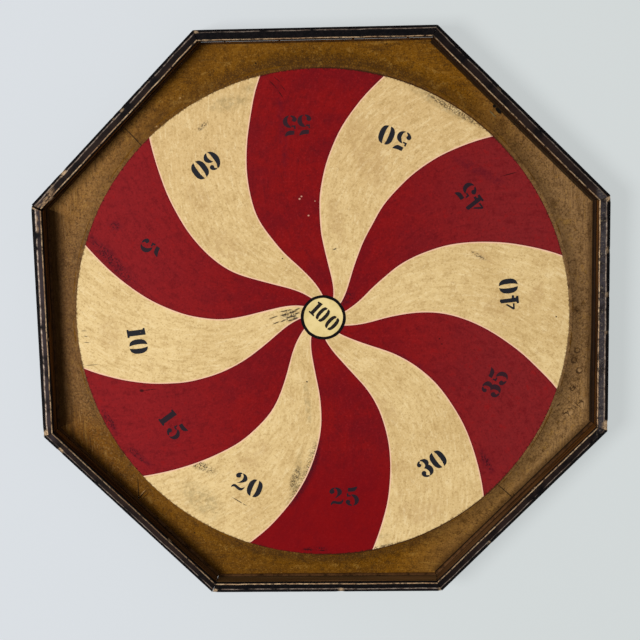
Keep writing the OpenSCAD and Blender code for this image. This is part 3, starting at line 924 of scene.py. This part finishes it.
# Width and pieces of each digit
DIGITS = {
    "0": (14.6, [ZERO_HALF, mirrored(ZERO_HALF)]),
    "1": (8.2, [corners(
        (2.9, 9.2), (2.7, -7.3), (4.1, -7.7), (4.1, -9.3), (-4.1, -9.3), (-4.1, -7.7), (-2.7, -7.3),
        (-2.6, 6.8), (-4, 7.3), (-4, 8.8),
    )]),
    "2": (13, [
        [[(-0.9, 9.1), (-3.1, 8.8), (-5.4, 7.2), (-6.2, 5.1), (-5.1, 3.4), (-3.1, 3.2),
          (-1.4, 4.4), (-1.3, 6.2), (-2, 7.5)], [(-0.9, 8.3)]],
        [[(0.1, 9.2), (2.5, 8.8), (5, 7.2), (6.2, 4.9), (5.7, 2.6), (3.8, 0.7), (0.9, -1)],
         [(-2, -2.4), (0.2, -0.2), (1.6, 2.2), (1.9, 4.9), (1.3, 7.1)], [(0.1, 8.3)]],
        [[(-6.3, -9), (-5.9, -6.6), (-4.2, -4.8), (-2, -4.8), (0.9, -5.8), (3.7, -5.9),
          (5.6, -4.9)],
         [(6.7, -3.6), (6.3, -6), (5, -8), (2.9, -8.8), (-0.1, -8.2), (-3, -7.2),
          (-4.9, -7.8)]],
    ]),
    "3": (13.6, [
        [[(-0.7, 9.3), (-2.5, 9.1), (-4.5, 7.8), (-5.3, 5.8), (-4.2, 4), (-2.5, 4),
          (-1.3, 5.1), (-2, 7.2)], [(-0.7, 8.2)]],
        [[(0.1, 9.5), (2.6, 9.2), (5.2, 7.8), (6.6, 5), (6.1, 2.7)],
         [(4.6, 0.9), (6, -1.6), (6.2, -4.6), (5, -7.4), (2.8, -9)],
         [(-0.2, -9.5)], [(-0.2, -8.6), (1, -7), (1.3, -4.2), (0.6, -1.6)],
         [(-1, 0.4), (1.4, 1.7), (2.1, 4.6), (1.5, 7.4)], [(0.1, 8.7)]],
        [[(-1.2, -9.5), (-3.5, -9), (-5.8, -7.2), (-6.8, -4.7), (-5.9, -2.2), (-3.8, -1.5),
          (-2.2, -2.6), (-2, -4.4), (-3.2, -5.9), (-2.9, -7.2)], [(-1.2, -8.4)]],
    ]),
    "4": (14.4, [
        corners((-1.2, 4.2), (-7.1, -3), (-6.6, -4.4), (-1, -4.7), (-1, -3.3), (-4.9, -3),
                (-1.2, 2.2)),
        corners((0.5, 8.1), (2.2, 9.2), (4.3, 9), (4.3, -2.5), (7.2, -3.2), (7, -4.9),
                (4.4, -5.2), (4.4, -6.6), (6.2, -7.5), (6, -9.2), (-1.2, -9.2), (-1.5, -7.6),
                (0.4, -6.8)),
    ]),
    "5": (13.5, [
        [[(-2.6, 9.1), (1.5, 8.9)], [(6.9, 9.7), (5.4, 7), (3.4, 5.3), (0.8, 5)],
         [(-3.2, 5.4)]],
        corners((-4.5, 3.9), (-3.3, 3.5), (-3.2, 1.5), (-1, 1.3), (-1.1, 0), (-4.9, 0.2)),
        [[(-0.5, 1.9), (2.8, 1.5), (5.8, -0.8), (6.8, -4.1), (5.7, -7.4), (3.1, -9.3)],
         [(0.3, -9.8), (2, -8), (2.6, -5.1), (2.2, -2.2)]],
        [[(-1.2, -9.9), (-4.1, -9), (-6.1, -7.2), (-6.8, -5.2), (-5.5, -3.5), (-3.6, -3.6),
          (-2.2, -5.1), (-2.9, -7.2)], [(-1.2, -8.9)]],
    ]),
    "6": (13.5, [
        [[(0.2, 9.2), (-2.8, 8.1), (-5.6, 4.6), (-6.8, 0), (-5.8, -4.8), (-3.4, -8.1)],
         [(-0.8, -9.4), (-1.6, -6.7), (-1.8, 0), (-1.4, 5)], [(0.2, 8.2)]],
        [[(1.4, 9.2), (3.8, 8.7), (6, 7), (6.7, 4.9), (5.5, 3.2), (3.5, 3.2), (2.3, 4.7),
          (2.9, 6.8)], [(1.4, 8.2)]],
        [[(0.3, 1.1), (3.1, 0.5), (5.6, -1.6), (6.6, -4.3), (5.4, -7.3), (3.2, -9)],
         [(0.8, -9.4), (2, -6.9), (2.3, -4.2), (1.6, -1.3)]],
    ]),
}
SMALL_ONE = corners(
    (1.9, 7.8), (1.8, -6), (3.4, -6.3), (3.4, -7.9), (-3.4, -7.9), (-3.4, -6.3), (-1.8, -6),
    (-1.8, 5), (-3.2, 5.3), (-3.2, 6.9),
)
GLYPH_UNIT = 1.25
BLEED = 0.14
SMALL_BLEED = -0.03
CURVE_STEPS = 5


def smooth_run(points):
    """Points of a curve through all the given ones, without the last."""
    if len(points) == 2:
        return points[:1]
    ends = [points[0]] + points + [points[-1]]
    line = []
    for p0, p1, p2, p3 in zip(ends, ends[1:], ends[2:], ends[3:]):
        for i in range(CURVE_STEPS):
            t = i / CURVE_STEPS
            line.append(tuple(
                0.5 * (2 * b + (c - a) * t + (2 * a - 5 * b + 4 * c - d) * t * t
                       + (3 * b - a - 3 * c + d) * t ** 3)
                for a, b, c, d in zip(p0, p1, p2, p3)
            ))
    return line


def outline(shape):
    points = []
    for run, following in zip(shape, shape[1:] + shape[:1]):
        points += smooth_run(run + following[:1])
    return points


def bled(loop, bleed, seed):
    """An anticlockwise outline grown by the ink's uneven bleed."""
    result = []
    for before, point, after in zip(loop[-1:] + loop[:-1], loop, loop[1:] + loop[:1]):
        along = Vector((after[0] - before[0], after[1] - before[1])).normalized()
        grown = bleed + 0.16 * wander(0.9, *point, seed)
        result.append((point[0] + along.y * grown, point[1] - along.x * grown))
    return result


def numeral(name, shapes, r, angle, turn, material, bleed=BLEED):
    """Thin solids of ink from shapes, each placed at (dx, dy) from the numeral's middle."""
    vertices, faces = [], []
    right = Vector((math.cos(turn), math.sin(turn)))
    up = Vector((-right.y, right.x))
    middle = Vector((r * math.cos(angle), r * math.sin(angle)))
    for dx, dy, shape in shapes:
        loop = outline(shape)
        area = sum(a[0] * b[1] - b[0] * a[1] for a, b in zip(loop, loop[1:] + loop[:1]))
        if area < 0:
            loop.reverse()
        loop = bled(loop, bleed, dx + angle * 9)
        faces += slab_faces(len(vertices), len(loop))
        for z in (PAINT_TOP + 0.09, PAINT_TOP - 0.05):
            for x, y in loop:
                place = middle + (right * (x + dx) + up * (y + dy)) * GLYPH_UNIT
                vertices.append((place.x, place.y, z))
    add_piece(name, vertices, faces, material)


def numerals():
    on_cream = ink("ink_on_cream", (25, 25, 31), (122, 100, 78), 0.6, 0.74)
    on_red = ink("ink_on_red", (32, 17, 26), (100, 18, 28), 0.6, 0.78)
    faded = ink("ink_faded", (44, 18, 27), (112, 16, 24), 0.55, 0.72)
    for score, r, degrees, gap, last_drop in NUMERALS:
        digits = [DIGITS[digit] for digit in str(score)]
        total = sum(width for width, _ in digits) + gap * (len(digits) - 1)
        place = -total / 2
        shapes = []
        for k, (width, pieces) in enumerate(digits):
            shapes += [(place + width / 2, -last_drop * k, shape) for shape in pieces]
            place += width + gap
        material = on_red if score in RED_SCORES else on_cream
        if score in FADED_SCORES:
            material = faded
        angle = math.radians(degrees)
        numeral(f"numeral_{score}", shapes, r, angle, angle + math.pi / 2, material)
    small_zero = [SMALL_ZERO_HALF, mirrored(SMALL_ZERO_HALF)]
    shapes = [(-11.9, 0, SMALL_ONE)]
    shapes += [(dx, 0, shape) for dx in (-2.9, 9.7) for shape in small_zero]
    on_spot = ink("ink_on_spot", (24, 17, 14), (110, 90, 66), 0.66, 0.8)
    numeral("numeral_100", shapes, 4.4, math.radians(3), math.radians(-44), on_spot, SMALL_BLEED)


RAIL_FACE = 14.2
RAIL_STEPS = 150

# How much shorter the tops of some rails are at one end (mm), by side and end
OPEN_MITRES = {(4, -1): 1.5, (3, 1): 0.6}

# Added to the distance from the worn lines on the walls below LINES_ABOVE, which have none (mm)
FAR_OFF = 30
LINES_ABOVE = 41


def rail_section(bevel, rounding):
    """A rail's section from its inner foot over the top to its outer foot: inset from the inner
    face, height, and how much of the inner and of the outer arris's wear a point takes."""
    edge = RAIL_FACE - bevel
    return [
        (0, RAIL_BOTTOM, 0, 0), (0, 24, 0, 0), (0, 33, 0, 0), (0, 40, 0.1, 0),
        (0, RIM_Z - 1.5 * rounding, 0.6, 0), (0.2 * rounding, RIM_Z - 0.6 * rounding, 1, 0),
        (0.55 * rounding, RIM_Z - 0.2 * rounding, 1, 0), (rounding, RIM_Z - 0.02, 0.7, 0),
        (rounding + 1, RIM_Z, 0.3, 0), (0.5 * (rounding + edge), RIM_Z, 0, 0),
        (edge - 1.2, RIM_Z, 0, 0.3), (edge, RIM_Z - 0.1, 0, 0.8), (edge + 0.25 * bevel, 45.2, 0, 1),
        (edge + 0.65 * bevel, 44.1, 0, 0.7), (RAIL_FACE, 43, 0, 0.5), (RAIL_FACE, 38, 0, 0),
        (RAIL_FACE, 26, 0, 0), (RAIL_FACE, RAIL_BOTTOM, 0, 0),
    ]


def chip_depth(chips, side, along):
    """Depth of the chips at a place on a rail, with a jagged outline."""
    depth = 0.0
    for chip_side, place, half, deep in chips:
        off = abs(along - place) / half
        if chip_side == side and off < 1:
            jagged = 0.75 + 0.6 * wander(1.6, along, 31 * side, 0)
            depth = max(depth, deep * jagged * (1 - off ** 3))
    return depth


def rail(side, material):
    """A mitred rail with unsteady, chipped arrises. Its vertices know their distance from the two
    worn lines, how pale these are, and whether their paint is gone."""
    turn = math.radians(side * SIDE_STEP)
    out = Vector((math.cos(turn), math.sin(turn)))
    on = Vector((-out.y, out.x))
    bevel, rounding, line_gain, arris_gain = RAIL_WEAR[side]
    section = rail_section(bevel, rounding)
    vertices, chips, off_line, off_arris = [], [], [], []
    seed = 50 * side
    for i in range(RAIL_STEPS + 1):
        share = 2 * i / RAIL_STEPS - 1
        for inset, z, inner_wear, outer_wear in section:
            middle = (RAIL_INNER + inset) * math.tan(HALF_SIDE) * share
            unsteady = 0.28 * abs(wander(11, middle, seed, z)) + 0.14 * abs(wander(3, middle, seed, 0))
            inner = inner_wear * (unsteady + chip_depth(INNER_CHIPS, side, middle))
            outer = outer_wear * (unsteady + chip_depth(OUTER_CHIPS, side, middle))
            across = RAIL_INNER + inset + 0.7 * inner - 0.6 * outer
            height = z - 0.5 * inner - 0.7 * outer - 0.06 * abs(wander(16, middle, inset, seed))
            half = across * math.tan(HALF_SIDE) - MITRE_GAP / 2 / math.cos(HALF_SIDE)
            half -= OPEN_MITRES.get((side, share), 0) * eased(33, 43, z)
            place = out * across + on * (half * share)
            vertices.append((place.x, place.y, max(height, RAIL_BOTTOM)))
            chips.append(min(1, max(0, 1.8 * (inner + outer) - 0.9)))
            strayed = 0.5 * wander(24, middle, seed, 7) + 0.3 * wander(6, middle, seed, 9)
            low = 0 if z > LINES_ABOVE else math.copysign(FAR_OFF, inset - RAIL_FACE / 2)
            off_line.append((inset - (RAIL_FACE - bevel) + strayed + low) * MM)
            off_arris.append((inset - rounding + 0.7 * strayed + low) * MM)
    name = SIDE_NAMES[side]
    faces = tube_faces(RAIL_STEPS + 1, len(section))
    piece = add_piece(f"worn_rail_{name}", vertices, faces, material, [f"rail_{name}"])
    set_values(piece, chip=chips, off_line=off_line, off_arris=off_arris,
               line_gain=[line_gain] * len(vertices), arris_gain=[arris_gain] * len(vertices))


def dress(node_name, material):
    """Gives a CAD node its material."""
    materials = frame["nodes"][node_name].data.materials
    materials.clear()
    materials.append(material)


def build_board():
    red, cream = red_paint(), cream_paint()
    for index, row in enumerate(SECTORS):
        sector(index, red if row[0] in RED_SCORES else cream)
    painted_ring(ring_paint())
    painted_spot(spot_paint())
    numerals()
    rim, bead = rim_paint(), bead_paint()
    for side, name in enumerate(SIDE_NAMES):
        rail(side, rim)
        dress(f"foot_bead_{name}", bead)
    for board, name in enumerate(BOARD_NAMES):
        squeeze = (1, 0.1) if board % 2 == 0 else (0.1, 1)
        dress(f"field_board_{name}", ochre_paint(name, *squeeze, board))
    paint_cove(ochre_paint("cove", 0.5, 0.5, 1))
    panel, wood, metal = panel_paint(), pine(), steel()
    for number in range(1, 5):
        dress(f"target_plank_{number}", panel)
    for name in ("batten_upper", "batten_lower"):
        dress(name, wood)
    for name in ("rail_nails", "target_brads", "batten_screws"):
        dress(name, metal)


# Studio: lengths in metres, angles of the key light in degrees

CAMERA_PLACE = (0.0786, 0.3207, 1.8752)
CAMERA_TURN = (-0.1748, 0.0399, -0.0208)
FOCAL_PIXELS = 1500
IMAGE_PIXELS = 640
SENSOR_MM = 36
KEY_DISTANCE = 7.0
KEY_HEIGHT = 52.5
KEY_FROM = 183
KEY_SIZE = 3.0
KEY_POWER = 464
WORLD_TINT = (0.97, 0.985, 1, 1)
WORLD_LEVEL = 0.27
WORLD_SHOWN = 0.6
# Floor colours, paler at the left than at the right: painted light, as the lamp is at the left.
FLOOR_LEFT = ((216, 221, 225), (219, 223, 228))
FLOOR_RIGHT = ((211, 217, 217), (214, 219, 219))
FLOOR_GLOW = 0.78
FLOOR_REACH = 30.0
FLOOR_Z = -0.0003


def background_rays(nodes):
    """1 for the rays that show the background and 0 for those that light the board."""
    path = nodes.node("LightPath", {})
    return nodes.most(path["Is Camera Ray"], path["Is Glossy Ray"], path["Is Transmission Ray"])


def floor():
    """A pale floor that is seen partly by its own light, which softens the shadow, and is painted paler
    towards the left as painted light.
    """
    f = Finish("floor_pale", 0.9, 0.05)
    clouds = f.noise(500, 3, 0.5)
    left, right = [f.mix(clouds, linear(*a), linear(*b)) for a, b in (FLOOR_LEFT, FLOOR_RIGHT)]
    f.layer = f.mix(f.band(f.x, -0.4, 0.3), left, right)
    glow = f.node("Emission", {"Color": f.layer})[0]
    share = f.times(background_rays(f), FLOOR_GLOW)
    blend = f.node("MixShader", {0: share, 1: f.shader.outputs[0], 2: glow})[0]
    f.put(f.tree.nodes["Material Output"], {"Surface": blend})
    mesh = bpy.data.meshes.new("floor")
    around = ((-1, -1), (1, -1), (1, 1), (-1, 1))
    vertices = [(x * FLOOR_REACH, y * FLOOR_REACH, FLOOR_Z) for x, y in around]
    mesh.from_pydata(vertices, [], [(0, 1, 2, 3)])
    mesh.materials.append(f.done())
    placed("floor", mesh)


def lights():
    """A dim world, which looks brighter than it lights, and a soft key light from the left."""
    world = bpy.data.worlds.new("studio")
    world.use_nodes = True
    sky = Nodes(world.node_tree)
    strength = sky.between(background_rays(sky), WORLD_LEVEL, WORLD_SHOWN)
    sky.put(sky.tree.nodes["Background"], {"Color": WORLD_TINT, "Strength": strength})
    bpy.context.scene.world = world
    lamp = bpy.data.lights.new("key", "AREA")
    lamp.shape = "DISK"
    lamp.size = KEY_SIZE
    lamp.energy = KEY_POWER
    key = placed("key", lamp)
    height, turn = math.radians(KEY_HEIGHT), math.radians(KEY_FROM)
    level = math.cos(height)
    towards = Vector((level * math.cos(turn), level * math.sin(turn), math.sin(height)))
    key.location = towards * KEY_DISTANCE
    key.rotation_euler = towards.to_track_quat("Z", "Y").to_euler()


def camera():
    data = bpy.data.cameras.new("camera")
    data.sensor_width = SENSOR_MM
    data.lens = FOCAL_PIXELS / IMAGE_PIXELS * SENSOR_MM
    view = placed("camera", data)
    view.location = CAMERA_PLACE
    view.rotation_euler = Euler(CAMERA_TURN, "XYZ")
    bpy.context.scene.camera = view


for leftover in list(bpy.data.objects):
    bpy.data.objects.remove(leftover)
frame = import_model()
bpy.context.scene.view_settings.view_transform = "Standard"
build_board()
floor()
lights()
camera()
